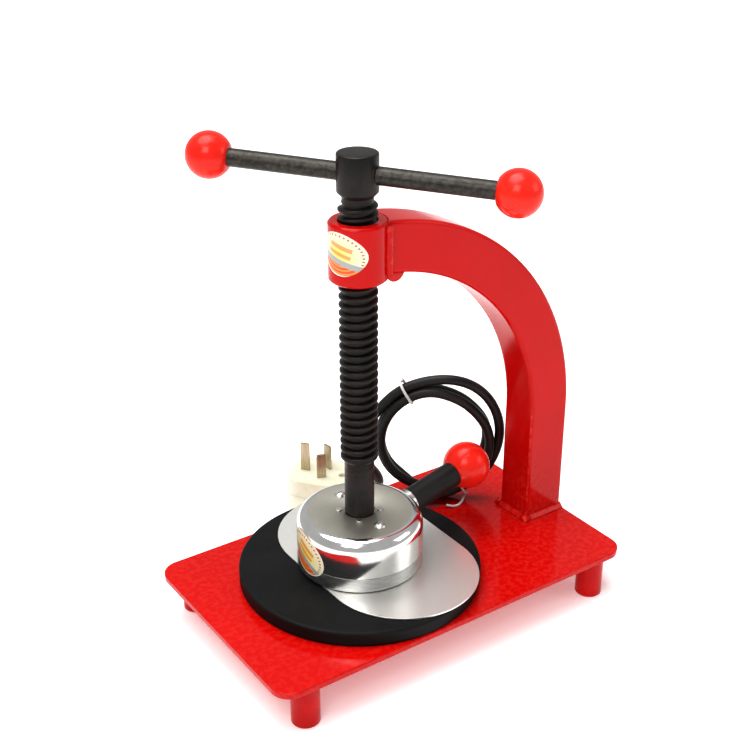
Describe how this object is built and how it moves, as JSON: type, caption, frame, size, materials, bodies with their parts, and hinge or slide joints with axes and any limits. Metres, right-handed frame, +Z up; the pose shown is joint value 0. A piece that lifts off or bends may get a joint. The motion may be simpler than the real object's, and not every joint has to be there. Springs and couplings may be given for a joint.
{
  "type": "screw press with electric heating head",
  "caption": "Bench screw press with a bent frame arm, a cross-bar screw, a round chromed electric heating head over a rubber pad, and a coiled mains lead with a three-pin plug.",
  "frame": {"origin": "on the floor, under the middle of the base plate", "axes": "+Z up along the screw; +X along the base from the heating head to the column; +Y to the rear, where the plug lies"},
  "size_m": [0.252, 0.2223, 0.2993],
  "materials": {
    "red_paint": "gloss spray paint",
    "black_rubber": "matt",
    "aluminium_sheet": "rolled, lightly scratched",
    "black_steel": "oil blackened",
    "washer_steel": "ground",
    "red_plastic": "gloss",
    "chrome_cover": "polished chrome",
    "platen_metal": "turned",
    "mica": "mica sheet",
    "element_wrap": "mica wound heater",
    "zinc_steel": "zinc plated",
    "ceramic": "steatite",
    "brass": "plain",
    "brown_wire": "silicone sleeve",
    "blue_wire": "silicone sleeve",
    "earth_wire": "silicone sleeve",
    "stat_body": "moulded",
    "black_plastic": "satin",
    "label": "printed film",
    "lead_sheath": "satin",
    "tie": "thin plastic",
    "plug_body": "cream, satin",
    "nickel_brass": "plain"
  },
  "bodies": {
    "frame": {"base_plate": "red_paint", "feet": "red_paint", "frame_arm": "red_paint", "threaded_boss": "red_paint", "column_weld": "red_paint", "boss_weld": "red_paint", "rubber_pad": "black_rubber", "boss_label": "label", "cord_from_head": "lead_sheath", "cord_coil": "lead_sheath", "cord_to_plug": "lead_sheath", "coil_ties": "tie", "plug_back": "plug_body", "plug_face": "plug_body", "plug_pins": "nickel_brass", "plug_screw": "zinc_steel"},
    "sheet": {"press_sheet": "aluminium_sheet"},
    "lift": {"thrust_washer": "washer_steel"},
    "head": {"head_cover": "chrome_cover", "platen": "platen_metal", "lower_mica": "mica", "heating_element": "element_wrap", "upper_mica": "mica", "pressure_plate": "zinc_steel", "thrust_seat": "washer_steel", "swivel_retainer": "zinc_steel", "retainer_rivets": "zinc_steel", "cover_screws": "zinc_steel", "cover_spacers": "zinc_steel", "thermostat": "stat_body", "terminal_block": "ceramic", "terminal_screws": "brass", "live_wire": "brown_wire", "neutral_wire": "blue_wire", "earth_wire": "earth_wire", "thermostat_wire": "brown_wire", "earth_screw": "brass", "handle_stud": "zinc_steel", "handle_nut": "zinc_steel", "handle_washer": "black_plastic", "handle_sleeve": "black_plastic", "handle_knob": "red_plastic", "strain_relief": "black_rubber", "head_label": "label"},
    "screw": {"lead_screw": "black_steel"},
    "bar": {"cross_bar": "black_steel", "bar_knobs": "red_plastic"}
  },
  "joints": [
    {"name": "press_lift", "type": "slide", "parent": "frame", "child": "lift", "axis": [0, 0, 1], "range_m": [0, 0.09]},
    {"name": "head_swivel", "type": "hinge", "parent": "lift", "child": "head", "pos_m": [-0.026, 0, 0.06], "axis": [0, 0, 1], "range_deg": [-60, 4]},
    {"name": "screw_spin", "type": "hinge", "parent": "lift", "child": "screw", "pos_m": [-0.026, 0, 0.2], "axis": [0, 0, 1], "range_deg": [0, 6481]},
    {"name": "bar_slide", "type": "slide", "parent": "screw", "child": "bar", "axis": [0.6617, -0.7479, -0.0523], "range_m": [-0.06, 0.057]},
    {"name": "sheet_pull", "type": "slide", "parent": "frame", "child": "sheet", "axis": [0, -1, 0], "range_m": [0, 0.15]}
  ],
  "couplings": [
    {"joint": "screw_spin", "follows": "press_lift", "rad_per_m": 1256.6}
  ]
}
